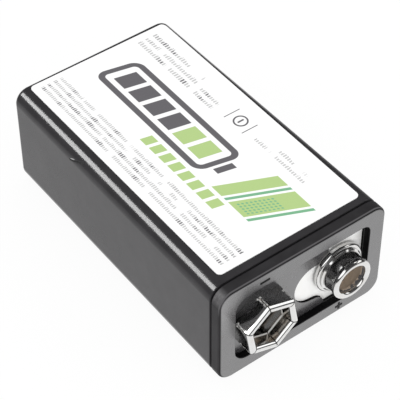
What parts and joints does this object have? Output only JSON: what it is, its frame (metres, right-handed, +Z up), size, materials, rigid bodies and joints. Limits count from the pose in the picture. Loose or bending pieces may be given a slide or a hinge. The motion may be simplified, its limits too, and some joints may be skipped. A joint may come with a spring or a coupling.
{
  "type": "nine volt battery",
  "caption": "Small rectangular block battery with a round snap stud and a six-sided snap socket side by side on one end, and a printed label on one wide face.",
  "frame": {"origin": "centre of the footprint of the block lying on its plain wide face, terminals counted in", "axes": "+X across the width towards the positive stud, +Y along the length away from the terminals, +Z up through the thickness to the label"},
  "size_m": [0.0262, 0.0474, 0.016],
  "materials": {
    "case_plastic": "satin black moulded plastic",
    "cover_plastic": "satin black moulded plastic",
    "board_plastic": "satin black sheet",
    "label_film": "white printed plastic film",
    "contact_metal": "bright nickel plate",
    "plate_metal": "bright nickel-plated sheet",
    "strap_metal": "nickel strip",
    "cell_metal": "nickel-plated steel cans",
    "sleeve_film": "shrink film",
    "insulator_board": "grey-brown fibre sheet",
    "pad_foam": "thin foam"
  },
  "bodies": {
    "root": {"case": "case_plastic", "terminal_cover": "cover_plastic", "terminal_board": "board_plastic", "label": "label_film", "positive_stud": "contact_metal", "negative_socket": "contact_metal", "positive_rivet": "contact_metal", "negative_rivet": "contact_metal", "positive_plate": "plate_metal", "negative_plate": "plate_metal", "positive_strap": "strap_metal", "negative_strap": "strap_metal", "link_strap_1": "strap_metal", "link_strap_2": "strap_metal", "link_strap_3": "strap_metal", "link_strap_4": "strap_metal", "link_strap_5": "strap_metal", "link_strap_6": "strap_metal", "cell_1": "cell_metal", "cell_2": "cell_metal", "cell_3": "cell_metal", "cell_4": "cell_metal", "cell_5": "cell_metal", "cell_6": "cell_metal", "cell_7": "cell_metal", "stack_sleeve": "sleeve_film", "top_insulator": "insulator_board", "base_pad": "pad_foam"}
  },
  "joints": []
}
